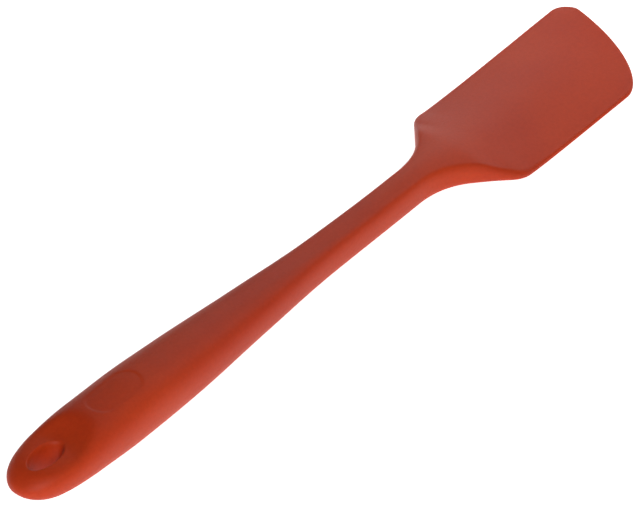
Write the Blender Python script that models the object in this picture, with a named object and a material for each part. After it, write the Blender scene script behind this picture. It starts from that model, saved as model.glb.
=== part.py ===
"""Kitchen spatula: a one-piece silicone blade, neck and handle moulded over a stiff nylon core.

The tool lies on its back. +X runs from the handle's butt to the blade's tip, +Y is the side of the
blade with the square corner, and +Z is up. The origin is on the resting plane, under the middle.
"""
import math

import bmesh
import bpy
from mathutils import Matrix

MM = 0.001

# Driving dimensions, in millimetres. Distances along the tool are counted from the butt.
LENGTH = 208.5
BLADE_WIDTH = 31.2
BUTT_ROUND = 8.3          # length of the half ellipse that ends the handle
FLARE_START = 134.8       # where the neck begins to widen
FLARE_RADIUS = 20.0       # concave fillet between neck and shoulder
FLARE_ANGLE = 40.5        # slope of the shoulder, in degrees
SHOULDER_RADIUS = 6.0     # convex corner between shoulder and blade edge
SQUARE_CORNER = 4.2       # radius of the tip's +Y corner
SWEEP_LENGTH = 16.0       # how far the rounded end edge falls back on the -Y side
SWEEP_POWERS = 1.75, 1.43  # the end edge is a superellipse; 2 and 2 would be a plain ellipse

# Profiles along the tool: (distance from the butt, value).
HALF_WIDTH = [(0, 6.7), (4, 6.9), (6, 7.06), (8, 7.36), (10, 7.76), (13, 8.12), (20, 8.38),
              (35, 8.25), (55, 7.55), (80, 5.8), (105, 4.1), (125, 3.85), (145, 3.75)]
TOP = [(0, 11.0), (8, 12.2), (14, 13.2), (24, 14.2), (35, 14.2), (55, 13.0), (80, 10.7),
       (105, 8.75), (125, 8.1), (138, 7.85), (148, 7.25), (157, 5.4), (168, 3.9), (186, 2.6),
       (LENGTH, 1.3)]
UNDERSIDE = [(0, 4.0), (8, 3.15), (20, 1.6), (35, 0.25), (55, -0.1), (80, 0.5), (105, 0.75),
             (125, 0.7), (138, 0.75), (150, 0.45), (158, 0.0), (166, -0.15), (LENGTH, -0.15)]
# Thickness at the long edges over thickness on the centre line: 1 is a plain oval.
EDGE_RATIO = [(0, 1.0), (100, 1.0), (125, 0.9), (138, 0.88), (149, 0.76), (154, 0.47),
              (160, 0.3), (170, 0.3), (186, 0.4), (LENGTH, 0.8)]
# Exponent of the section's superellipse: 2 is an ellipse, and higher is squarer.
SQUARENESS = [(0, 2.3), (60, 2.3), (105, 2.8), (125, 3.4), (138, 4.0), (146, 5.0), (LENGTH, 5.0)]

HOLE_X = 9.9              # hang hole's centre
HOLE_LENGTH = 10.6
HOLE_WIDTH = 5.8
HOLE_SIDES = 32
DISH_X = 14.0             # the shallow scoop on top, at the hole's blade end
DISH_LENGTH = 15.0
DISH_WIDTH = 11.0
DISH_DEPTH = 1.6
DISH_ROUNDNESS = 2.6      # half height of the scooping ellipsoid, over the scoop's depth
DISH_SEGMENTS, DISH_RINGS = 32, 14

CORE_START, CORE_END = 24.0, 153.0
CORE_HEIGHT_START, CORE_HEIGHT_END = 7.6, 3.6   # height of its middle plane at the two ends
CORE_THICKNESS = 3.4
CORE_HALF_WIDTH = [(24, 2.6), (27, 4.4), (58, 4.4), (98, 2.1), (138, 2.1), (149, 4.6), (153, 3.2)]
KEY_HOLES = [34, 44, 54, 64, 74, 147]
KEY_HOLE_RADIUS = 1.5
KEY_HOLE_SIDES = 16
PIN_HOLES = [30, 112]     # moulding locators in the underside, open to the core
PIN_RADIUS = 0.9
PIN_SIDES = 12
GAP = 0.3                 # clearance between the core and the silicone

RING = 28                 # points round a section
BUTT_RINGS = 6            # sections in the handle's rounded end, up to ROUND_END
ROUND_END = 12.0
HANDLE_SPACING = 8.2
HANDLE_RINGS = 15
FLARE_SPACING = 2.2
FLARE_RINGS = 14
BLADE_RINGS = 172, 180, 188
TIP_RINGS = 12
TIP_FLAT = 0.02           # the last section stops this far short of the tip, and closes it

CUT_LOW, CUT_HIGH = -2, 18   # heights that upright cutters run between
CREASE_ANGLE = 35         # edges sharper than this many degrees are shaded sharp

# Finishes: linear colour and roughness.
RED_SILICONE = (0.42, 0.045, 0.025), 0.45
GLASS_FILLED_NYLON = (0.05, 0.05, 0.055), 0.55


def smooth(table, x):
    """Value at x on a cubic through the table's points, flat where the points turn."""
    if x <= table[0][0]:
        return table[0][1]
    if x >= table[-1][0]:
        return table[-1][1]
    steps = [(b[1] - a[1]) / (b[0] - a[0]) for a, b in zip(table, table[1:])]

    def slope(k):
        if k == 0 or k == len(table) - 1:
            return steps[min(k, len(steps) - 1)]
        before, after = steps[k - 1], steps[k]
        return 0.0 if before * after <= 0 else 2 * before * after / (before + after)

    k = next(i for i in range(len(steps)) if x <= table[i + 1][0])
    (x0, y0), (x1, y1) = table[k], table[k + 1]
    run = x1 - x0
    t = (x - x0) / run
    return (y0 * (1 + 2 * t) * (1 - t) ** 2 + slope(k) * run * t * (1 - t) ** 2
            + y1 * t * t * (3 - 2 * t) + slope(k + 1) * run * t * t * (t - 1))


def half_width(x):
    """Half the tool's width from butt to blade, before the tip is rounded."""
    angle = math.radians(FLARE_ANGLE)
    neck = smooth(HALF_WIDTH, FLARE_START)
    blade = BLADE_WIDTH / 2
    line_start = FLARE_START + FLARE_RADIUS * math.sin(angle)
    line_from = neck + FLARE_RADIUS * (1 - math.cos(angle))
    line_to = blade - SHOULDER_RADIUS * (1 - math.cos(angle))
    line_end = line_start + (line_to - line_from) / math.tan(angle)
    shoulder_end = line_end + SHOULDER_RADIUS * math.sin(angle)
    if x < FLARE_START:
        return smooth(HALF_WIDTH, x)
    if x < line_start:
        return neck + FLARE_RADIUS - math.sqrt(FLARE_RADIUS ** 2 - (x - FLARE_START) ** 2)
    if x < line_end:
        return line_from + (x - line_start) * math.tan(angle)
    if x < shoulder_end:
        return blade - SHOULDER_RADIUS + math.sqrt(SHOULDER_RADIUS ** 2 - (shoulder_end - x) ** 2)
    return blade


def edges(x):
    """The outline's two Y values at x, far side first, with the tip's corners rounded."""
    far = half_width(x)
    near = -far
    into_corner = x - (LENGTH - SQUARE_CORNER)
    if into_corner > 0:
        far -= SQUARE_CORNER - math.sqrt(max(SQUARE_CORNER ** 2 - into_corner ** 2, 0))
    into_sweep = (x - (LENGTH - SWEEP_LENGTH)) / SWEEP_LENGTH
    if into_sweep > 0:
        corner = BLADE_WIDTH / 2 - SQUARE_CORNER
        along, across = SWEEP_POWERS
        reach = max(1 - into_sweep ** along, 0) ** (1 / across)
        near = corner - (corner + BLADE_WIDTH / 2) * reach
    return far, near


def section(x):
    """Closed ring of (y, z) round the tool at x, in millimetres, counter-clockwise seen from +X."""
    far, near = edges(x)
    low, high = smooth(UNDERSIDE, x), smooth(TOP, x)
    half = (high - low) / 2
    if x < BUTT_ROUND:
        shrink = math.sqrt(1 - (1 - x / BUTT_ROUND) ** 2)
        low += half * (1 - shrink)
        half *= shrink
        far, near = far * shrink, near * shrink
    ratio, power = smooth(EDGE_RATIO, x), smooth(SQUARENESS, x)
    ring = []
    for k in range(RING):
        angle = 2 * math.pi * k / RING
        across = math.cos(angle)
        rise = math.copysign(max(1 - abs(across) ** power, 0) ** (1 / power), math.sin(angle))
        crown = half * (1 - (1 - ratio) * across ** 2)
        z = low + crown + crown * rise
        ring.append(((far + near) / 2 + (far - near) / 2 * across, max(z, 0.0)))
    return ring


def stations():
    """Distances of the sections: close at the rounded ends and the flare, wide elsewhere."""
    quarter = math.pi / 2
    butt = [ROUND_END * (1 - math.cos(quarter * k / (BUTT_RINGS + 1))) for k in range(1, BUTT_RINGS + 1)]
    handle = [ROUND_END + HANDLE_SPACING * k for k in range(HANDLE_RINGS)]
    flare = [FLARE_START + FLARE_SPACING * k for k in range(FLARE_RINGS)]
    sweep = LENGTH - SWEEP_LENGTH
    tip = [sweep + SWEEP_LENGTH * math.sin(quarter * k / TIP_RINGS) for k in range(TIP_RINGS)]
    return butt + handle + flare + list(BLADE_RINGS) + tip + [LENGTH - TIP_FLAT]


def place(x):
    """World X of a distance along the tool."""
    return (x - LENGTH / 2) * MM


def collection(name):
    made = bpy.data.collections.new(name)
    bpy.context.scene.collection.children.link(made)
    return made


def material(name, colour, roughness):
    made = bpy.data.materials.new(name)
    made.use_nodes = True
    shader = made.node_tree.nodes["Principled BSDF"]
    shader.inputs["Base Color"].default_value = (*colour, 1.0)
    shader.inputs["Roughness"].default_value = roughness
    shader.inputs["Metallic"].default_value = 0.0
    made.diffuse_color = (*colour, 1.0)
    return made


def add_object(name, mesh, where, finish=None):
    made = bpy.data.objects.new(name, mesh)
    where.objects.link(made)
    if finish:
        mesh.materials.append(finish)
        mesh.shade_smooth()
        mesh.set_sharp_from_angle(angle=math.radians(CREASE_ANGLE))
    else:
        made.hide_render = True
        made.display_type = "WIRE"
    return made


def body_mesh():
    """The silicone's outside: sections lofted along X, closed at both ends."""
    bm = bmesh.new()
    rings = [[bm.verts.new((place(x), y * MM, z * MM)) for y, z in section(x)]
             for x in stations()]
    for one, two in zip(rings, rings[1:]):
        for k in range(RING):
            nxt = (k + 1) % RING
            bm.faces.new((one[k], two[k], two[nxt], one[nxt]))
    butt_z = (smooth(TOP, 0) + smooth(UNDERSIDE, 0)) / 2
    butt = bm.verts.new((place(0), 0, butt_z * MM))
    for k in range(RING):
        bm.faces.new((butt, rings[0][k], rings[0][(k + 1) % RING]))
    bm.faces.new(rings[-1])
    bmesh.ops.recalc_face_normals(bm, faces=bm.faces)
    mesh = bpy.data.meshes.new("silicone_body")
    bm.to_mesh(mesh)
    bm.free()
    return mesh


def outline_mesh(name, outlines, thickness):
    """Flat plate with holes, from closed outlines of (x, y) in metres."""
    curve = bpy.data.curves.new(name, "CURVE")
    curve.dimensions = "2D"
    curve.fill_mode = "BOTH"
    curve.extrude = thickness / 2
    for points in outlines:
        spline = curve.splines.new("POLY")
        spline.points.add(len(points) - 1)
        for point, (x, y) in zip(spline.points, points):
            point.co = (x, y, 0, 1)
        spline.use_cyclic_u = True
    holder = bpy.data.objects.new(name, curve)
    bpy.context.scene.collection.objects.link(holder)
    bpy.context.view_layer.update()
    mesh = bpy.data.meshes.new_from_object(holder.evaluated_get(bpy.context.evaluated_depsgraph_get()))
    bpy.data.objects.remove(holder)
    bpy.data.curves.remove(curve)
    bm = bmesh.new()
    bm.from_mesh(mesh)
    bmesh.ops.remove_doubles(bm, verts=bm.verts, dist=1e-6)
    bmesh.ops.recalc_face_normals(bm, faces=bm.faces)
    bm.to_mesh(mesh)
    bm.free()
    return mesh


def circle(x, y, radius_x, radius_y, count):
    return [(x + radius_x * math.cos(2 * math.pi * k / count),
             y + radius_y * math.sin(2 * math.pi * k / count)) for k in range(count)]


def core_mesh(name, grow):
    """The core's plate, made larger all round by grow (in mm) when it cuts its own cavity."""
    def shifted(x):
        middle = (CORE_START + CORE_END) / 2
        return x + grow * (1 if x > middle else -1) if x in (CORE_START, CORE_END) else x

    side = [(place(shifted(x)), (w + grow) * MM) for x, w in CORE_HALF_WIDTH]
    outer = side + [(x, -y) for x, y in reversed(side)]
    radius = (KEY_HOLE_RADIUS - grow) * MM
    holes = [circle(place(x), 0, radius, radius, KEY_HOLE_SIDES) for x in KEY_HOLES]
    mesh = outline_mesh(name, [outer] + holes, (CORE_THICKNESS + 2 * grow) * MM)
    middle = (CORE_START + CORE_END) / 2
    run = (CORE_END - CORE_START) * MM
    drop = (CORE_HEIGHT_START - CORE_HEIGHT_END) * MM
    lift = Matrix.Translation((place(middle), 0, (CORE_HEIGHT_START + CORE_HEIGHT_END) / 2 * MM))
    tilt = Matrix.Rotation(math.atan2(drop, run), 4, "Y")
    mesh.transform(lift @ tilt @ Matrix.Translation((-place(middle), 0, 0)))
    return mesh


def cylinder_mesh(name, x, radius_x, radius_y, low, high, count):
    """Upright cylinder from low to high, all in millimetres."""
    bm = bmesh.new()
    bmesh.ops.create_cone(bm, cap_ends=True, segments=count, radius1=MM, radius2=MM,
                          depth=(high - low) * MM)
    bmesh.ops.scale(bm, vec=(radius_x, radius_y, 1), verts=bm.verts)
    bmesh.ops.translate(bm, vec=(place(x), 0, (high + low) / 2 * MM), verts=bm.verts)
    mesh = bpy.data.meshes.new(name)
    bm.to_mesh(mesh)
    bm.free()
    return mesh


def dish_mesh(name):
    """Ellipsoid that scoops the top round the hang hole."""
    reach = DISH_ROUNDNESS * DISH_DEPTH
    middle = smooth(TOP, DISH_X) + reach - DISH_DEPTH
    bm = bmesh.new()
    bmesh.ops.create_uvsphere(bm, u_segments=DISH_SEGMENTS, v_segments=DISH_RINGS, radius=MM)
    chord = math.sqrt(1 - (1 - DISH_DEPTH / reach) ** 2)
    bmesh.ops.scale(bm, vec=(DISH_LENGTH / 2 / chord, DISH_WIDTH / 2 / chord, reach), verts=bm.verts)
    bmesh.ops.translate(bm, vec=(place(DISH_X), 0, middle * MM), verts=bm.verts)
    mesh = bpy.data.meshes.new(name)
    bm.to_mesh(mesh)
    bm.free()
    return mesh


def cut(target, cutter):
    modifier = target.modifiers.new(cutter.name, "BOOLEAN")
    modifier.operation = "DIFFERENCE"
    modifier.solver = "EXACT"
    modifier.object = cutter


def main():
    for old in list(bpy.data.objects):
        bpy.data.objects.remove(old)
    parts = collection("silicone_spatula")
    cutters = collection("cutters")
    red = material("red_silicone", *RED_SILICONE)
    nylon = material("glass_filled_nylon", *GLASS_FILLED_NYLON)

    body = add_object("silicone_body", body_mesh(), parts, red)
    add_object("stiffening_core", core_mesh("stiffening_core", 0.0), parts, nylon)

    cut(body, add_object("dish", dish_mesh("dish"), cutters))
    hole = cylinder_mesh("hang_hole", HOLE_X, HOLE_LENGTH / 2, HOLE_WIDTH / 2, CUT_LOW, CUT_HIGH,
                         HOLE_SIDES)
    cut(body, add_object("hang_hole", hole, cutters))
    cut(body, add_object("core_cavity", core_mesh("core_cavity", GAP), cutters))
    for number, x in enumerate(PIN_HOLES, 1):
        name = f"pin_hole_{number}"
        height = CORE_HEIGHT_START + (CORE_HEIGHT_END - CORE_HEIGHT_START) * (
            (x - CORE_START) / (CORE_END - CORE_START))
        top = height - CORE_THICKNESS / 2 - GAP / 2
        pin = cylinder_mesh(name, x, PIN_RADIUS, PIN_RADIUS, CUT_LOW, top, PIN_SIDES)
        cut(body, add_object(name, pin, cutters))


main()
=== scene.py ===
"""Silicone scraping spatula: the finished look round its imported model.

The tool lies on its back, with +X from the handle's butt to the blade's tip and +Z up. The silicone
skin is laid out flat as a blank of quads, and a Geometry Nodes tree raises it to its moulded form.
"""

import math

import bpy
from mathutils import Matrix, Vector


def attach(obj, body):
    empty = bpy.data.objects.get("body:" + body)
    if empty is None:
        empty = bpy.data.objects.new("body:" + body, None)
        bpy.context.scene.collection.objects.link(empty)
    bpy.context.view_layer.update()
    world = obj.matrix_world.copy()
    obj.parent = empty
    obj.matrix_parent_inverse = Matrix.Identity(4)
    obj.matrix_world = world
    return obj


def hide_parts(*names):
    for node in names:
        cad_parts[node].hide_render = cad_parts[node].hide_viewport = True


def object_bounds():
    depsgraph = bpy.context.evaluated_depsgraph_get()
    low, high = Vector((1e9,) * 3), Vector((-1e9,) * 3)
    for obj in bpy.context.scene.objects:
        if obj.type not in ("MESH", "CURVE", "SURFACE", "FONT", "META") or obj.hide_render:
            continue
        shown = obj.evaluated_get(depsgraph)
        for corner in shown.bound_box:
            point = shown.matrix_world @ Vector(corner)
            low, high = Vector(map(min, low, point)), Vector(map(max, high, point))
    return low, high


bl_info = {
    "name": "Scraping Spatula",
    "version": (1, 0, 0),
    "blender": (4, 5, 0),
    "location": "3D View > Sidebar > Spatula",
    "description": "Builds the silicone skin, the core's finish and the studio round the packed model",
    "category": "Object",
}

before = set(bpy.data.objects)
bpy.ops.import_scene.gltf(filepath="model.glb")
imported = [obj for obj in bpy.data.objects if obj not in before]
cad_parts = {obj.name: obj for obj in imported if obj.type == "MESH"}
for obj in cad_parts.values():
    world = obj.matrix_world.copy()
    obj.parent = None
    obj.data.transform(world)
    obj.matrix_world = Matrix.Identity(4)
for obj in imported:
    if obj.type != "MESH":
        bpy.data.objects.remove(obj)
CAD_LOW, CAD_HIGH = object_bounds()

MM = 0.001
LENGTH = (CAD_HIGH.x - CAD_LOW.x) / MM       # the sizes below are in millimetres
BLADE_WIDTH = (CAD_HIGH.y - CAD_LOW.y) / MM

TINY = 1e-9                                  # keeps a divisor off zero
WELD = 0.0001                                # points closer than this are merged

# The outline, seen from above. Distances along the tool are counted from the butt.
BUTT_ROUND = 8.3           # length of the half ellipse that ends the handle
FLARE_START = 134.8        # where the neck begins to widen
FLARE_RADIUS = 20.0        # concave fillet between neck and shoulder
FLARE_ANGLE = 40.5         # slope of the shoulder, in degrees
SHOULDER_RADIUS = 6.0      # convex corner between shoulder and blade edge
SQUARE_CORNER = 4.2        # radius of the tip's +Y corner
SWEEP_LENGTH = 16.0        # how far the rounded end edge falls back on the -Y side
SWEEP_POWERS = 1.75, 1.43  # the end edge is a superellipse; 2 and 2 would be a plain ellipse

# Profiles along the tool: (distance from the butt, value). Where UNDERSIDE is below 0 the tool lies flat.
HALF_WIDTH = [(0, 6.7), (4, 6.9), (6, 7.06), (8, 7.36), (10, 7.76), (13, 8.12), (20, 8.38),
              (35, 8.25), (55, 7.55), (80, 5.8), (105, 4.1), (125, 3.85), (145, 3.75)]
TOP = [(0, 11.0), (8, 12.2), (14, 13.2), (24, 14.2), (35, 14.2), (55, 13.0), (80, 10.7),
       (105, 8.75), (125, 8.1), (138, 7.85), (148, 7.25), (157, 5.4), (168, 3.9), (186, 2.6),
       (LENGTH, 1.3)]
UNDERSIDE = [(0, 4.0), (8, 3.15), (20, 1.6), (35, 0.25), (55, -0.1), (80, 0.5), (105, 0.75),
             (125, 0.7), (138, 0.75), (150, 0.45), (158, 0.0), (166, -0.15), (LENGTH, -0.15)]
# Thickness at the long edges over thickness on the centre line: 1 is a plain oval.
EDGE_RATIO = [(0, 1.0), (100, 1.0), (125, 0.9), (138, 0.88), (149, 0.74), (154, 0.44),
              (160, 0.27), (170, 0.26), (186, 0.36), (LENGTH, 0.7)]
# How far the edge's rounding reaches in, over the half width: 1 is a full oval, less a squarer bar.
REACH = [(0, 1.0), (60, 1.0), (85, 0.85), (105, 0.6), (125, 0.45), (140, 0.35), (150, 0.16),
         (160, 0.05), (170, 0.035), (LENGTH, 0.035)]
ROUNDING_POWER = [(0, 2.3), (60, 2.3), (105, 2.5), (140, 2.6), (160, 2.0), (LENGTH, 2.0)]

# The blank: how finely the skin is divided.
EYE_END = 22.0             # the quads run round the hang hole up to here, and across the tool beyond
HALF_RING = 72             # quads across one face
EYE_ROWS = 26              # rows between the outline and the hang hole
WALL_ROWS = 12             # rows down the hang hole's wall
WAIST = 0.14               # share by which the hole narrows halfway down
SIDE_QUADS = 14            # quads along each side, from EYE_END to the butt's rounding
TURN_QUADS = 22            # quads round each half of the butt
# (end of the stretch, distance between its rings)
SPACING = [(46.0, 0.34), (133.0, 1.5), (167.0, 0.5)]
BLADE_SPACING = 1.0
TIP_RINGS = 56             # rings in the rounded end, closer and closer to the tip

# The seat's bank starts and ends at these shares of its ellipse's length and width from the centre.
BANK_START, BANK_END = 0.22, 0.9
PANEL_EDGE = 0.5           # width of the sunk panel's sloping edge

# Patterns on the surfaces.
PIGMENT_DRIFT = 25.0       # width of the pigment's slow drifts
PIGMENT_SPECK = 0.8
GRAIN_DEPTH = 0.05
RIPPLE = 9.0               # width of the mould's faint unevenness
RIPPLE_DEPTH = 0.25
LIGHT_REACH = 1.2          # how far light enters the silicone
STREAK = 0.4               # width of the nylon's flow streaks
STREAK_STRETCH = 10        # their length over their width
STREAK_DEPTH = 0.03
FROST = 1.5                # width of the table's frosted tooth

# A colour Mix node's two colours and its result, which share their names with other sockets.
MIX_A, MIX_B, MIX_RESULT = 6, 7, 2

# The studio: (lamp, its setting, width, place), the last two in metres. Each lamp faces the origin.
LAMPS = [("key_softbox", "key", 0.45, (-0.5, -0.52, 0.62)),
         ("fill_softbox", "fill", 0.1, (-0.28, -0.15, 0.17)),
         ("rim_softbox", "rim", 0.1, (0.2, 0.13, 0.105)),
         ("overhead_softbox", "overhead", 0.15, (0.22, -0.02, 0.16))]
AIM_RIGHT, AIM_UP = -0.21, 4.11   # where the view's centre lies from the origin, across and up the view
SENSOR = 36.0              # width of the camera's sensor
CLIP_NEAR, CLIP_FAR = 0.1, 4   # shares of the camera's distance
FLOOR_REACH = 6000.0       # half the floor's width
FLOOR_DROP = 0.05          # gap between tool and floor
DOME_TURN = 0.8            # height on the unit dome where the surround reaches its overhead strength


def linear(code):
    """An sRGB hex colour such as #C4523C, as linear red, green and blue."""
    shares = [int(code[k:k + 2], 16) / 255 for k in (1, 3, 5)]
    return [c / 12.92 if c <= 0.04045 else ((c + 0.055) / 1.055) ** 2.4 for c in shares]


def add_node(tree, kind, links=None, **settings):
    """Adds a node with its settings. Links give an input a plain value, a socket or a node's output 0."""
    made = tree.nodes.new(kind)
    for name, value in settings.items():
        setattr(made, name, value)
    for key, value in (links or {}).items():
        if isinstance(value, bpy.types.Node):
            value = value.outputs[0]
        if isinstance(value, bpy.types.NodeSocket):
            tree.links.new(value, made.inputs[key])
        else:
            made.inputs[key].default_value = value
    return made


# ---- The tool's own measures

def smooth(table, x):
    """Value at x on a cubic through the table's points, flat where the points turn."""
    if x <= table[0][0]:
        return table[0][1]
    if x >= table[-1][0]:
        return table[-1][1]
    steps = [(b[1] - a[1]) / (b[0] - a[0]) for a, b in zip(table, table[1:])]

    def slope(k):
        if k == 0 or k == len(table) - 1:
            return steps[min(k, len(steps) - 1)]
        before, after = steps[k - 1], steps[k]
        return 0.0 if before * after <= 0 else 2 * before * after / (before + after)

    k = next(i for i in range(len(steps)) if x <= table[i + 1][0])
    (x0, y0), (x1, y1) = table[k], table[k + 1]
    run = x1 - x0
    t = (x - x0) / run
    return (y0 * (1 + 2 * t) * (1 - t) ** 2 + slope(k) * run * t * (1 - t) ** 2
            + y1 * t * t * (3 - 2 * t) + slope(k + 1) * run * t * t * (t - 1))


def half_width(x):
    """Half the tool's width from butt to blade, before the ends are rounded."""
    angle = math.radians(FLARE_ANGLE)
    neck = smooth(HALF_WIDTH, FLARE_START)
    blade = BLADE_WIDTH / 2
    line_start = FLARE_START + FLARE_RADIUS * math.sin(angle)
    line_from = neck + FLARE_RADIUS * (1 - math.cos(angle))
    line_to = blade - SHOULDER_RADIUS * (1 - math.cos(angle))
    line_end = line_start + (line_to - line_from) / math.tan(angle)
    shoulder_end = line_end + SHOULDER_RADIUS * math.sin(angle)
    if x < FLARE_START:
        return smooth(HALF_WIDTH, x)
    if x < line_start:
        return neck + FLARE_RADIUS - math.sqrt(FLARE_RADIUS ** 2 - (x - FLARE_START) ** 2)
    if x < line_end:
        return line_from + (x - line_start) * math.tan(angle)
    if x < shoulder_end:
        return blade - SHOULDER_RADIUS + math.sqrt(SHOULDER_RADIUS ** 2 - (shoulder_end - x) ** 2)
    return blade


def shrink(x):
    """Share of the full section left at x by the butt's rounding."""
    return math.sqrt(max(1 - (1 - x / BUTT_ROUND) ** 2, 0)) if x < BUTT_ROUND else 1.0


def edges(x):
    """The outline's two Y values at x, +Y side first."""
    far = half_width(x) * shrink(x)
    near = -far
    into_corner = x - (LENGTH - SQUARE_CORNER)
    if into_corner > 0:
        far -= SQUARE_CORNER - math.sqrt(max(SQUARE_CORNER ** 2 - into_corner ** 2, 0))
    into_sweep = (x - (LENGTH - SWEEP_LENGTH)) / SWEEP_LENGTH
    if into_sweep > 0:
        corner = BLADE_WIDTH / 2 - SQUARE_CORNER
        along, across = SWEEP_POWERS
        near = corner - (corner + BLADE_WIDTH / 2) * max(1 - into_sweep ** along, 0) ** (1 / across)
    return far, near


def inset_at_tip(x, y):
    """Distance in from the blade's outline, past the start of the rounded end."""
    corner = BLADE_WIDTH / 2 - SQUARE_CORNER
    if y > corner:
        into = x - (LENGTH - SQUARE_CORNER)
        if into <= 0:
            return BLADE_WIDTH / 2 - y
        return SQUARE_CORNER - math.hypot(into, y - corner)
    u = max((x - (LENGTH - SWEEP_LENGTH)) / SWEEP_LENGTH, TINY)
    span = corner + BLADE_WIDTH / 2
    v = max((corner - y) / span, TINY)
    along, across = SWEEP_POWERS
    slope = math.hypot(along * u ** (along - 1) / SWEEP_LENGTH, across * v ** (across - 1) / span)
    return (1 - u ** along - v ** across) / slope


def stations():
    """Distances of the rings beyond the eye: closest by the seat and panel, at the flare and at the tip."""
    found = [EYE_END]
    for end, step in SPACING + [(LENGTH - SWEEP_LENGTH, BLADE_SPACING)]:
        count = round((end - found[-1]) / step)
        start = found[-1]
        found += [start + (end - start) * (k + 1) / count for k in range(count)]
    start = found[-1]
    found += [start + SWEEP_LENGTH * math.sin(math.pi / 2 * (k + 1) / TIP_RINGS)
              for k in range(TIP_RINGS - 1)]
    return found


# ---- The skin

class Blank:
    """The skin's quads laid out flat, with what the moulding tree needs to know at each point."""

    FIELDS = ("top", "low", "spine", "inset", "power", "side")

    def __init__(self):
        self.points = []
        self.faces = []
        self.known = {name: [] for name in self.FIELDS}

    def point(self, x, y, side, on_outline=False):
        """Adds a point. Side is 1 on top and -1 underneath, and runs between them down the hole's wall."""
        far, near = edges(x)
        middle, half = (far + near) / 2, max((far - near) / 2, TINY)
        across = min(abs(y - middle) / half, 1.0)
        high, low = smooth(TOP, x), smooth(UNDERSIDE, x)
        thickness = (high - low) * shrink(x)
        low += (high - low - thickness) / 2
        if on_outline:
            inset = 0.0
        elif x > LENGTH - SWEEP_LENGTH:
            inset = max(inset_at_tip(x, y), 0) / (smooth(REACH, x) * BLADE_WIDTH / 2)
        else:
            inset = (1 - across) / smooth(REACH, x)
        self.points.append((CAD_LOW.x + x * MM, y * MM, 0.0))
        ratio = smooth(EDGE_RATIO, x)
        self.known["top"].append((low + thickness) * MM)
        self.known["low"].append(low * MM)
        self.known["spine"].append(1 - (1 - ratio) * (1.0 if on_outline else across) ** 2)
        self.known["inset"].append(min(inset, 1.0))
        self.known["power"].append(smooth(ROUNDING_POWER, x))
        self.known["side"].append(side)
        return len(self.points) - 1

    def strip(self, one, two):
        """Quads between two equal rows of points. A quad with two shared corners becomes a triangle."""
        for a, b, c, d in zip(one, one[1:], two[1:], two):
            corners = [p for p, before in zip((a, b, c, d), (d, a, b, c)) if p != before]
            if len(corners) > 2:
                self.faces.append(corners)

    def mesh(self, name):
        """The blank as a mesh, with its fields as attributes."""
        made = bpy.data.meshes.new(name)
        made.from_pydata(self.points, [], self.faces)
        for field in self.FIELDS:
            made.attributes.new(field, "FLOAT", "POINT").data.foreach_set("value", self.known[field])
        return made


def butt_outline():
    """Outline points from the -Y side at EYE_END round the butt, up to the +Y side, both ends left out."""
    straight = [BUTT_ROUND + (EYE_END - BUTT_ROUND) * k / SIDE_QUADS for k in range(SIDE_QUADS - 1, 0, -1)]
    turn = [BUTT_ROUND * (1 - math.sin(math.pi / 2 * k / TURN_QUADS)) for k in range(TURN_QUADS)]
    near_side = straight + turn
    return ([(x, edges(x)[1]) for x in near_side] + [(0.0, 0.0)]
            + [(x, edges(x)[0]) for x in reversed(near_side)])


def eye_columns(blank, hole):
    """Columns of points from the outline over the top, down the hole and back underneath."""
    x, length, width = hole
    far = half_width(EYE_END)
    section = [(EYE_END, far * math.cos(math.pi * k / HALF_RING), k in (0, HALF_RING))
               for k in range(HALF_RING + 1)]
    columns = []
    for outer_x, outer_y, on_outline in section + [(a, b, True) for a, b in butt_outline()]:
        angle = math.atan2(outer_y / width, (outer_x - x) / length)
        inner_x, inner_y = x + length / 2 * math.cos(angle), width / 2 * math.sin(angle)

        def row(k, side):
            share = (1 - math.cos(math.pi * k / EYE_ROWS)) / 2
            return blank.point(outer_x + (inner_x - outer_x) * share,
                               outer_y + (inner_y - outer_y) * share, side,
                               on_outline and k == 0)

        top = [row(k, 1.0) for k in range(EYE_ROWS + 1)]
        wall = []
        for k in range(1, WALL_ROWS):
            down = math.pi * k / WALL_ROWS
            narrow = 1 - WAIST * math.sin(down)
            wall.append(blank.point(x + (inner_x - x) * narrow, inner_y * narrow, math.cos(down)))
        under = [row(k, -1.0) for k in range(EYE_ROWS, 0, -1)]
        under.append(top[0] if on_outline else row(0, -1.0))
        columns.append(top + wall + under)
    return columns


def skin_blank(hole):
    """The whole skin laid out flat: the eye round the hang hole, then rings across the tool."""
    blank = Blank()
    columns = eye_columns(blank, hole)
    for one, two in zip(columns, columns[1:] + columns[:1]):
        blank.strip(one, two)
    ring = [column[0] for column in columns[:HALF_RING + 1]]
    ring += [columns[k][-1] for k in range(HALF_RING - 1, 0, -1)]
    for x in stations()[1:]:
        far, near = edges(x)
        following = []
        for k in range(2 * HALF_RING):
            across = math.cos(math.pi * k / HALF_RING)
            y = (far + near) / 2 + (far - near) / 2 * across
            side = 1.0 if k <= HALF_RING else -1.0
            following.append(blank.point(x, y, side, k in (0, HALF_RING)))
        blank.strip(ring + ring[:1], following + following[:1])
        ring = following
    tip = blank.point(LENGTH, BLADE_WIDTH / 2 - SQUARE_CORNER, 1.0, True)
    blank.strip(ring + ring[:1], [tip] * (len(ring) + 1))
    return blank.mesh("skin_blank")


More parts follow.
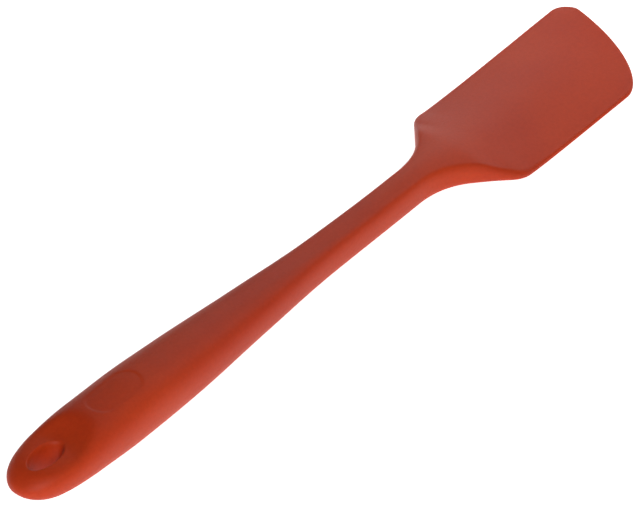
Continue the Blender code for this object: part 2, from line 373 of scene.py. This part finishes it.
def moulding_tree():
    """Geometry Nodes: raises the flat blank to its moulded form, with the hang hole's seat and rounded
    rim and the sunk panel. Positions and sizes are in metres."""
    tree = bpy.data.node_groups.new("moulded_form", "GeometryNodeTree")
    tree.interface.new_socket("Geometry", in_out="INPUT", socket_type="NodeSocketGeometry")
    for name in ("Hole Place", "Hole Length", "Hole Width", "Rim Radius",
                 "Seat Height", "Seat Length", "Seat Width", "Seat Bank", "Seat Blend",
                 "Panel Place", "Panel Length", "Panel Width", "Panel Depth", "Panel Edge"):
        tree.interface.new_socket(name, in_out="INPUT", socket_type="NodeSocketFloat")
    tree.interface.new_socket("Material", in_out="INPUT", socket_type="NodeSocketMaterial")
    tree.interface.new_socket("Geometry", in_out="OUTPUT", socket_type="NodeSocketGeometry")
    given = add_node(tree, "NodeGroupInput").outputs
    math_node = "ShaderNodeMath"
    known = {field: add_node(tree, "GeometryNodeInputNamedAttribute", {"Name": field}, data_type="FLOAT")
             for field in Blank.FIELDS}
    place = add_node(tree, "ShaderNodeSeparateXYZ", {0: add_node(tree, "GeometryNodeInputPosition")})
    from_hole = add_node(tree, math_node, {0: place.outputs["X"], 1: given["Hole Place"]},
                         operation="SUBTRACT")

    def ellipse_reach(length, width):
        """Distance from the hang hole's centre, in shares of an ellipse's length and width."""
        along = add_node(tree, math_node, {0: from_hole, 1: given[length]}, operation="DIVIDE")
        aside = add_node(tree, math_node, {0: place.outputs["Y"], 1: given[width]}, operation="DIVIDE")
        both = add_node(tree, "ShaderNodeCombineXYZ", {0: along, 1: aside})
        return add_node(tree, "ShaderNodeVectorMath", {0: both}, operation="LENGTH").outputs["Value"]

    # The section: a bar whose edges are rounded over their inset, crowned along its spine.
    depth = add_node(tree, math_node, {0: 1.0, 1: known["inset"]}, operation="SUBTRACT", use_clamp=True)
    bent = add_node(tree, math_node, {0: depth, 1: known["power"]}, operation="POWER")
    left = add_node(tree, math_node, {0: 1.0, 1: bent}, operation="SUBTRACT", use_clamp=True)
    root = add_node(tree, math_node, {0: 1.0, 1: known["power"]}, operation="DIVIDE")
    rise = add_node(tree, math_node, {0: left, 1: root}, operation="POWER")
    full = add_node(tree, math_node, {0: known["top"], 1: known["low"]}, operation="SUBTRACT")
    half = add_node(tree, math_node, {0: full, 1: 0.5}, operation="MULTIPLY")
    crown = add_node(tree, math_node, {0: half, 1: known["spine"]}, operation="MULTIPLY")
    middle = add_node(tree, math_node, {0: known["low"], 1: crown}, operation="ADD")
    swell = add_node(tree, math_node, {0: crown, 1: rise}, operation="MULTIPLY")

    # The seat: a level flat round the hang hole that banks up to the handle at its blade end.
    bank = add_node(tree, "ShaderNodeMapRange", {
        "Value": ellipse_reach("Seat Length", "Seat Width"), "From Min": BANK_START, "From Max": BANK_END,
        "To Max": given["Seat Bank"]}, interpolation_type="SMOOTHSTEP")
    seat = add_node(tree, math_node, {0: given["Seat Height"], 1: bank}, operation="ADD")

    # The rim of the hang hole: a quarter round of the rim radius.
    outside = add_node(tree, math_node, {0: ellipse_reach("Hole Length", "Hole Width"), 1: 0.5},
                       operation="SUBTRACT")
    outside = add_node(tree, math_node, {0: outside, 1: given["Hole Width"]}, operation="MULTIPLY")
    short = add_node(tree, math_node, {0: outside, 1: given["Rim Radius"]},
                     operation="DIVIDE", use_clamp=True)
    short = add_node(tree, math_node, {0: 1.0, 1: short}, operation="SUBTRACT")
    square = add_node(tree, math_node, {0: short, 1: short}, operation="MULTIPLY")
    drop = add_node(tree, math_node, {0: 1.0, 1: square}, operation="SUBTRACT", use_clamp=True)
    drop = add_node(tree, math_node, {0: drop}, operation="SQRT")
    drop = add_node(tree, math_node, {0: 1.0, 1: drop}, operation="SUBTRACT")
    lip = add_node(tree, math_node, {0: drop, 1: given["Rim Radius"]}, operation="MULTIPLY")

    # A plain sunk panel on top of the handle, with round ends.
    along = add_node(tree, math_node, {0: place.outputs["X"], 1: given["Panel Place"]},
                     operation="SUBTRACT")
    along = add_node(tree, math_node, {0: along}, operation="ABSOLUTE")
    run = add_node(tree, math_node, {0: given["Panel Length"], 1: given["Panel Width"]},
                   operation="SUBTRACT")
    run = add_node(tree, math_node, {0: run, 1: 0.5}, operation="MULTIPLY")
    along = add_node(tree, math_node, {0: along, 1: run}, operation="SUBTRACT")
    along = add_node(tree, math_node, {0: along, 1: 0.0}, operation="MAXIMUM")
    away = add_node(tree, "ShaderNodeCombineXYZ", {0: along, 1: place.outputs["Y"]})
    away = add_node(tree, "ShaderNodeVectorMath", {0: away}, operation="LENGTH").outputs["Value"]
    bound = add_node(tree, math_node, {0: given["Panel Width"], 1: 0.5}, operation="MULTIPLY")
    within = add_node(tree, math_node, {0: bound, 1: given["Panel Edge"]}, operation="SUBTRACT")
    sunk = add_node(tree, "ShaderNodeMapRange", {"Value": away, "From Min": bound, "From Max": within},
                    interpolation_type="SMOOTHSTEP")
    sunk = add_node(tree, math_node, {0: sunk, 1: given["Panel Depth"]}, operation="MULTIPLY")

    # Top and underside heights, then the height between them that the point's side asks for.
    upper = add_node(tree, math_node, {0: middle, 1: swell}, operation="ADD")
    upper = add_node(tree, math_node, {0: upper, 1: seat, 2: given["Seat Blend"]}, operation="SMOOTH_MIN")
    upper = add_node(tree, math_node, {0: upper, 1: lip}, operation="SUBTRACT")
    upper = add_node(tree, math_node, {0: upper, 1: sunk}, operation="SUBTRACT")
    lower = add_node(tree, math_node, {0: middle, 1: swell}, operation="SUBTRACT")
    lower = add_node(tree, math_node, {0: lower, 1: lip}, operation="ADD")
    share = add_node(tree, "ShaderNodeMapRange", {"Value": known["side"], "From Min": -1.0,
                                                  "To Min": lower, "To Max": upper})
    height = add_node(tree, math_node, {0: share, 1: 0.0}, operation="MAXIMUM")
    offset = add_node(tree, "ShaderNodeCombineXYZ", {2: height})
    raised = add_node(tree, "GeometryNodeSetPosition", {"Geometry": given["Geometry"], "Offset": offset})
    merged = add_node(tree, "GeometryNodeMergeByDistance", {"Geometry": raised, "Distance": WELD * MM})
    shaded = add_node(tree, "GeometryNodeSetShadeSmooth", {"Geometry": merged})
    realized = add_node(tree, "GeometryNodeRealizeInstances", {"Geometry": shaded})
    finished = add_node(tree, "GeometryNodeSetMaterial",
                        {"Geometry": realized, "Material": given["Material"]})
    add_node(tree, "NodeGroupOutput", {"Geometry": finished})
    return tree


def through_tree(mesh, name, tree, values):
    """Runs a mesh through a Geometry Nodes tree with these named inputs, and keeps the plain result."""
    source = bpy.data.objects.new(name + "_source", mesh)
    bpy.context.scene.collection.objects.link(source)
    modifier = source.modifiers.new("form", "NODES")
    modifier.node_group = tree
    sockets = {s.name: s.identifier for s in tree.interface.items_tree if s.in_out == "INPUT"}
    for title, value in values.items():
        modifier[sockets[title]] = value
    bpy.context.view_layer.update()
    result = bpy.data.meshes.new_from_object(source.evaluated_get(bpy.context.evaluated_depsgraph_get()))
    source.modifiers.remove(modifier)
    bpy.data.objects.remove(source)
    result.name = name
    return result


def add_piece(name, mesh, finish):
    """Links a finished mesh as a piece that moves with the tool."""
    if not mesh.polygons:
        raise RuntimeError(f"{name} has no faces")
    piece = bpy.data.objects.new(name, mesh)
    bpy.context.scene.collection.objects.link(piece)
    mesh.materials.clear()
    mesh.materials.append(finish)
    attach(piece, "root")
    return piece


# ---- Materials

def new_material(name, colour):
    """A material with an empty tree, shown in this colour where nodes aren't drawn."""
    made = bpy.data.materials.new(name)
    made.use_nodes = True
    made.diffuse_color = (*colour, 1.0)
    made.node_tree.nodes.clear()
    return made


def moulded_silicone(finish):
    """Platinum-cured silicone rubber, compression moulded in a blasted steel tool.

    Matte red with a soft broad highlight; light enters a little way and warms thin edges. The tool's
    blasting leaves a fine grain, and the pigment is not quite even.
    """
    made = new_material("moulded_silicone_rubber", finish.colour)
    tree = made.node_tree
    place = add_node(tree, "ShaderNodeTexCoord").outputs["Object"]

    # Pigment: slow drifts of tone about 25 mm across, and faint specks of 0.8 mm.
    drift = add_node(tree, "ShaderNodeTexNoise", {
        "Vector": place, "Scale": 1 / (PIGMENT_DRIFT * MM), "Detail": 2.0})
    drift = add_node(tree, "ShaderNodeMapRange", {"Value": drift, "From Min": 0.35, "From Max": 0.65})
    tone = add_node(tree, "ShaderNodeMix", {
        "Factor": drift, MIX_A: (*finish.deep_colour, 1.0), MIX_B: (*finish.colour, 1.0)},
        data_type="RGBA")
    speck = add_node(tree, "ShaderNodeTexNoise", {
        "Vector": place, "Scale": 1 / (PIGMENT_SPECK * MM), "Detail": 1.0})
    speck = add_node(tree, "ShaderNodeMapRange", {
        "Value": speck, "From Min": 0.3, "From Max": 0.7, "To Min": 0.96, "To Max": 1.04})
    colour = add_node(tree, "ShaderNodeHueSaturation", {
        "Color": tone.outputs[MIX_RESULT], "Value": speck})

    # Blasted tool: real grit is near 0.08 mm; it is drawn at 0.35 mm, the finest that shows.
    grain = add_node(tree, "ShaderNodeTexNoise", {
        "Vector": place, "Scale": 1 / finish.grain, "Detail": 3.0, "Roughness": 0.6})
    ripple = add_node(tree, "ShaderNodeTexNoise", {
        "Vector": place, "Scale": 1 / (RIPPLE * MM), "Detail": 1.0})
    bump = add_node(tree, "ShaderNodeBump", {
        "Strength": 0.25, "Distance": GRAIN_DEPTH * MM, "Height": grain})
    bump = add_node(tree, "ShaderNodeBump", {
        "Strength": 0.2, "Distance": RIPPLE_DEPTH * MM, "Height": ripple, "Normal": bump})
    polish = add_node(tree, "ShaderNodeMapRange", {
        "Value": grain, "From Min": 0.3, "From Max": 0.7,
        "To Min": finish.roughness - 0.05, "To Max": finish.roughness + 0.05})
    shader = add_node(tree, "ShaderNodeBsdfPrincipled", {
        "Base Color": colour, "Roughness": polish, "Normal": bump, "IOR": 1.41,
        "Specular IOR Level": 0.27, "Subsurface Weight": 0.08, "Subsurface Radius": (1.0, 0.25, 0.15),
        "Subsurface Scale": LIGHT_REACH * MM, "Sheen Weight": 0.03, "Sheen Roughness": 0.45,
        "Sheen Tint": (*linear("#F2C8BC"), 1.0)})
    add_node(tree, "ShaderNodeOutputMaterial", {"Surface": shader})
    return made


def filled_nylon(finish):
    """Nylon 66 with 30% short glass fibre, injection moulded: dark grey, dull, with faint flow streaks."""
    made = new_material("glass_filled_nylon_66", finish.core_colour)
    tree = made.node_tree
    place = add_node(tree, "ShaderNodeTexCoord").outputs["Object"]

    # Fibres lie along the flow: streaks about 4 mm long and 0.4 mm wide.
    flow = add_node(tree, "ShaderNodeMapping", {"Vector": place, "Scale": (1 / STREAK_STRETCH, 1.0, 1.0)})
    streak = add_node(tree, "ShaderNodeTexNoise", {
        "Vector": flow, "Scale": 1 / (STREAK * MM), "Detail": 4.0})
    share = add_node(tree, "ShaderNodeMapRange", {"Value": streak, "From Min": 0.35, "From Max": 0.7})
    tone = add_node(tree, "ShaderNodeMix", {
        "Factor": share, MIX_A: (*finish.core_colour, 1.0), MIX_B: (*linear("#4A4A4C"), 1.0)},
        data_type="RGBA")
    polish = add_node(tree, "ShaderNodeMapRange", {"Value": streak, "To Min": 0.45, "To Max": 0.7})
    bump = add_node(tree, "ShaderNodeBump", {
        "Strength": 0.3, "Distance": STREAK_DEPTH * MM, "Height": streak})
    shader = add_node(tree, "ShaderNodeBsdfPrincipled", {
        "Base Color": tone.outputs[MIX_RESULT], "Roughness": polish, "Normal": bump, "IOR": 1.53})
    add_node(tree, "ShaderNodeOutputMaterial", {"Surface": shader})
    return made


def light_table(finish, glow):
    """Opal acrylic light table: a pale plain ground, lit evenly from below, with a faint frosted tooth."""
    made = new_material("opal_acrylic", finish.floor_colour)
    tree = made.node_tree
    place = add_node(tree, "ShaderNodeTexCoord").outputs["Object"]
    tooth = add_node(tree, "ShaderNodeTexNoise", {
        "Vector": place, "Scale": 1 / (FROST * MM), "Detail": 2.0})
    tone = add_node(tree, "ShaderNodeMix", {
        "Factor": tooth, MIX_A: (*finish.floor_colour, 1.0), MIX_B: (*linear("#FBFBFB"), 1.0)},
        data_type="RGBA")
    shader = add_node(tree, "ShaderNodeBsdfPrincipled", {
        "Base Color": tone.outputs[MIX_RESULT], "Roughness": 0.9, "Specular IOR Level": 0.1,
        "Emission Color": (1.0, 1.0, 1.0, 1.0), "Emission Strength": glow})
    add_node(tree, "ShaderNodeOutputMaterial", {"Surface": shader})
    return made


# ---- Settings

class SpatulaEye(bpy.types.PropertyGroup):
    """Sizes of the hang hole, of the seat round it and of the plain panel near it."""

    hole_place: bpy.props.FloatProperty(
        name="Hole Place", description="Hang hole's centre, from the butt",
        default=9.9 * MM, unit="LENGTH")
    hole_length: bpy.props.FloatProperty(
        name="Hole Length", description="Hang hole's size along the handle",
        default=10.6 * MM, unit="LENGTH")
    hole_width: bpy.props.FloatProperty(
        name="Hole Width", description="Hang hole's size across the handle",
        default=5.8 * MM, unit="LENGTH")
    rim_radius: bpy.props.FloatProperty(
        name="Rim Radius", description="Rounding of the hang hole's rim",
        default=0.25 * MM, unit="LENGTH")
    seat_height: bpy.props.FloatProperty(
        name="Seat Height", description="Height of the level seat round the hole, over the table",
        default=11.4 * MM, unit="LENGTH")
    seat_length: bpy.props.FloatProperty(
        name="Seat Length", description="Length of the ellipse that the seat's bank follows",
        default=22.0 * MM, unit="LENGTH")
    seat_width: bpy.props.FloatProperty(
        name="Seat Width", description="Width of the ellipse that the seat's bank follows",
        default=26.0 * MM, unit="LENGTH")
    seat_bank: bpy.props.FloatProperty(
        name="Seat Bank", description="How far the bank would rise if the handle did not end it",
        default=6.0 * MM, unit="LENGTH")
    seat_blend: bpy.props.FloatProperty(
        name="Seat Blend", description="Height over which seat and handle blend",
        default=1.8 * MM, unit="LENGTH")
    panel_place: bpy.props.FloatProperty(
        name="Panel Place", description="Centre of the plain sunk panel, from the butt",
        default=33.0 * MM, unit="LENGTH")
    panel_length: bpy.props.FloatProperty(
        name="Panel Length", description="Length of the plain sunk panel",
        default=16.0 * MM, unit="LENGTH")
    panel_width: bpy.props.FloatProperty(
        name="Panel Width", description="Width of the plain sunk panel",
        default=7.6 * MM, unit="LENGTH")
    panel_depth: bpy.props.FloatProperty(
        name="Panel Depth", description="Depth of the plain sunk panel",
        default=0.12 * MM, unit="LENGTH")


class SpatulaFinish(bpy.types.PropertyGroup):
    """Colours and surface of the materials."""

    colour: bpy.props.FloatVectorProperty(
        name="Silicone", description="The silicone's colour",
        default=linear("#B0340C"), subtype="COLOR", min=0, max=1)
    deep_colour: bpy.props.FloatVectorProperty(
        name="Silicone, Deep", description="The silicone where the pigment is strongest",
        default=linear("#A82E0A"), subtype="COLOR", min=0, max=1)
    roughness: bpy.props.FloatProperty(
        name="Roughness", description="The silicone's roughness",
        default=0.55, min=0.06, max=0.94, subtype="FACTOR")
    grain: bpy.props.FloatProperty(
        name="Grain", description="Width of the blasted tool's grain",
        default=0.35 * MM, min=0.05 * MM, unit="LENGTH")
    core_colour: bpy.props.FloatVectorProperty(
        name="Nylon Core", description="The core's colour",
        default=linear("#2C2C2E"), subtype="COLOR", min=0, max=1)
    floor_colour: bpy.props.FloatVectorProperty(
        name="Floor", description="The studio floor's colour",
        default=linear("#F4F4F4"), subtype="COLOR", min=0, max=1)


class SpatulaStudio(bpy.types.PropertyGroup):
    """Light and camera."""

    azimuth: bpy.props.FloatProperty(
        name="Camera Azimuth", description="Heading of the view's right-hand side, from +X",
        default=math.radians(-51.14), unit="ROTATION")
    elevation: bpy.props.FloatProperty(
        name="Camera Elevation", description="Angle at which the camera looks down",
        default=math.radians(40.66), unit="ROTATION")
    framed: bpy.props.FloatProperty(
        name="Framed Width", description="Width that the view takes in at the tool",
        default=139.4 * MM, unit="LENGTH")
    lens: bpy.props.FloatProperty(
        name="Lens", description="Focal length, in millimetres", default=1250.0, min=50, max=1300)
    key: bpy.props.FloatProperty(
        name="Key Light", description="Power of the large light beside the camera, in watts",
        default=3.0, min=0)
    overhead: bpy.props.FloatProperty(
        name="Overhead Light", description="Power of the light above the blade's tip, in watts",
        default=0.25, min=0)
    fill: bpy.props.FloatProperty(
        name="Fill Light", description="Power of the small light that looks into the hang hole, in watts",
        default=0.33, min=0)
    rim: bpy.props.FloatProperty(
        name="Rim Light", description="Power of the small low light beyond the blade, in watts",
        default=0.13, min=0)
    sky: bpy.props.FloatProperty(
        name="Surround", description="Strength of the white surround", default=0.33, min=0)
    zenith: bpy.props.FloatProperty(
        name="Overhead Share", description="The surround's strength overhead, over that at the horizon",
        default=0.12, min=0, max=1, subtype="FACTOR")
    table: bpy.props.FloatProperty(
        name="Table Glow", description="Light that the translucent table lets through",
        default=0.85, min=0)


# ---- Operators

class SPATULA_OT_silicone_skin(bpy.types.Operator):
    """Builds the silicone skin and hides the plain solid that it stands for"""

    bl_idname = "spatula.silicone_skin"
    bl_label = "Silicone Skin"

    def execute(self, context):
        eye = context.scene.spatula_eye
        finish = moulded_silicone(context.scene.spatula_finish)
        butt = CAD_LOW.x
        hole = (eye.hole_place / MM, eye.hole_length / MM, eye.hole_width / MM)
        mesh = through_tree(skin_blank(hole), "silicone_skin", moulding_tree(), {
            "Hole Place": butt + eye.hole_place, "Hole Length": eye.hole_length,
            "Hole Width": eye.hole_width, "Rim Radius": eye.rim_radius,
            "Seat Height": eye.seat_height, "Seat Length": eye.seat_length, "Seat Width": eye.seat_width,
            "Seat Bank": eye.seat_bank, "Seat Blend": eye.seat_blend,
            "Panel Place": butt + eye.panel_place, "Panel Length": eye.panel_length,
            "Panel Width": eye.panel_width, "Panel Depth": eye.panel_depth,
            "Panel Edge": PANEL_EDGE * MM, "Material": finish})
        skin = add_piece("silicone_skin", mesh, finish)
        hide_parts("silicone_body")
        return {"FINISHED"}


class SPATULA_OT_nylon_core(bpy.types.Operator):
    """Gives the stiffening core its glass-filled nylon"""

    bl_idname = "spatula.nylon_core"
    bl_label = "Nylon Core"

    def execute(self, context):
        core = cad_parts["stiffening_core"]
        core.data.materials.clear()
        core.data.materials.append(filled_nylon(context.scene.spatula_finish))
        return {"FINISHED"}


class SPATULA_OT_stage(bpy.types.Operator):
    """Lays the floor, sets the lights and aims the camera"""

    bl_idname = "spatula.stage"
    bl_label = "Floor, Light and Camera"

    def execute(self, context):
        scene = context.scene
        studio = scene.spatula_studio
        floor_mesh = bpy.data.meshes.new("floor")
        reach = FLOOR_REACH * MM
        floor_mesh.from_pydata([(-reach, -reach, 0), (reach, -reach, 0), (reach, reach, 0),
                                (-reach, reach, 0)], [], [(0, 1, 2, 3)])
        floor = bpy.data.objects.new("floor", floor_mesh)
        floor.location.z = -FLOOR_DROP * MM
        floor_mesh.materials.append(light_table(scene.spatula_finish, studio.table))
        scene.collection.objects.link(floor)

        world = bpy.data.worlds.new("white_surround")
        world.use_nodes = True
        back = world.node_tree.nodes["Background"]
        back.inputs["Strength"].default_value = studio.sky
        heading = add_node(world.node_tree, "ShaderNodeTexCoord").outputs["Generated"]
        up = add_node(world.node_tree, "ShaderNodeSeparateXYZ", {0: heading}).outputs["Z"]
        dome = add_node(world.node_tree, "ShaderNodeMapRange", {
            "Value": up, "From Min": 0.0, "From Max": DOME_TURN, "To Min": 1.0, "To Max": studio.zenith},
            interpolation_type="SMOOTHSTEP")
        world.node_tree.links.new(dome.outputs[0], back.inputs["Color"])
        scene.world = world

        for name, setting, size, place in LAMPS:
            lamp = bpy.data.lights.new(name, "AREA")
            lamp.energy = getattr(studio, setting)
            lamp.size = size
            holder = bpy.data.objects.new(name, lamp)
            holder.location = place
            holder.rotation_mode = "QUATERNION"
            holder.rotation_quaternion = (-Vector(place)).to_track_quat("-Z", "Y")
            holder.visible_camera = False
            scene.collection.objects.link(holder)

        a, e = studio.azimuth, studio.elevation
        right = Vector((math.cos(a), math.sin(a), 0))
        ahead = Vector((-math.sin(a), math.cos(a), 0))
        camera = bpy.data.objects.new("camera", bpy.data.cameras.new("camera"))
        camera.data.sensor_width = SENSOR
        camera.data.lens = studio.lens
        distance = studio.framed * studio.lens / camera.data.sensor_width
        towards = ahead * math.cos(e) - Vector((0, 0, math.sin(e)))
        upward = ahead * math.sin(e) + Vector((0, 0, math.cos(e)))
        aim = right * AIM_RIGHT * MM + upward * AIM_UP * MM
        camera.location = aim - towards * distance
        camera.rotation_mode = "QUATERNION"
        camera.rotation_quaternion = towards.to_track_quat("-Z", "Y")
        camera.data.clip_start = distance * CLIP_NEAR
        camera.data.clip_end = distance * CLIP_FAR
        scene.collection.objects.link(camera)
        scene.camera = camera
        scene.view_settings.view_transform = "Standard"
        return {"FINISHED"}


class SPATULA_PT_panel(bpy.types.Panel):
    """Lists the pieces and their settings"""

    bl_idname = "SPATULA_PT_panel"
    bl_label = "Scraping Spatula"
    bl_space_type = "VIEW_3D"
    bl_region_type = "UI"
    bl_category = "Spatula"

    def draw(self, context):
        for operator in OPERATORS:
            self.layout.operator(operator.bl_idname)
        for group in (context.scene.spatula_eye, context.scene.spatula_finish,
                      context.scene.spatula_studio):
            column = self.layout.box().column()
            for name in group.__annotations__:
                column.prop(group, name)


OPERATORS = (SPATULA_OT_silicone_skin, SPATULA_OT_nylon_core, SPATULA_OT_stage)
GROUPS = {"spatula_eye": SpatulaEye, "spatula_finish": SpatulaFinish, "spatula_studio": SpatulaStudio}
CLASSES = (*GROUPS.values(), *OPERATORS, SPATULA_PT_panel)


def register():
    for made in CLASSES:
        bpy.utils.register_class(made)
    for name, group in GROUPS.items():
        setattr(bpy.types.Scene, name, bpy.props.PointerProperty(type=group))


def unregister():
    for name in GROUPS:
        delattr(bpy.types.Scene, name)
    for made in reversed(CLASSES):
        bpy.utils.unregister_class(made)


def main():
    register()
    bpy.ops.spatula.silicone_skin()
    bpy.ops.spatula.nylon_core()
    bpy.ops.spatula.stage()


if __name__ == "__main__":
    main()
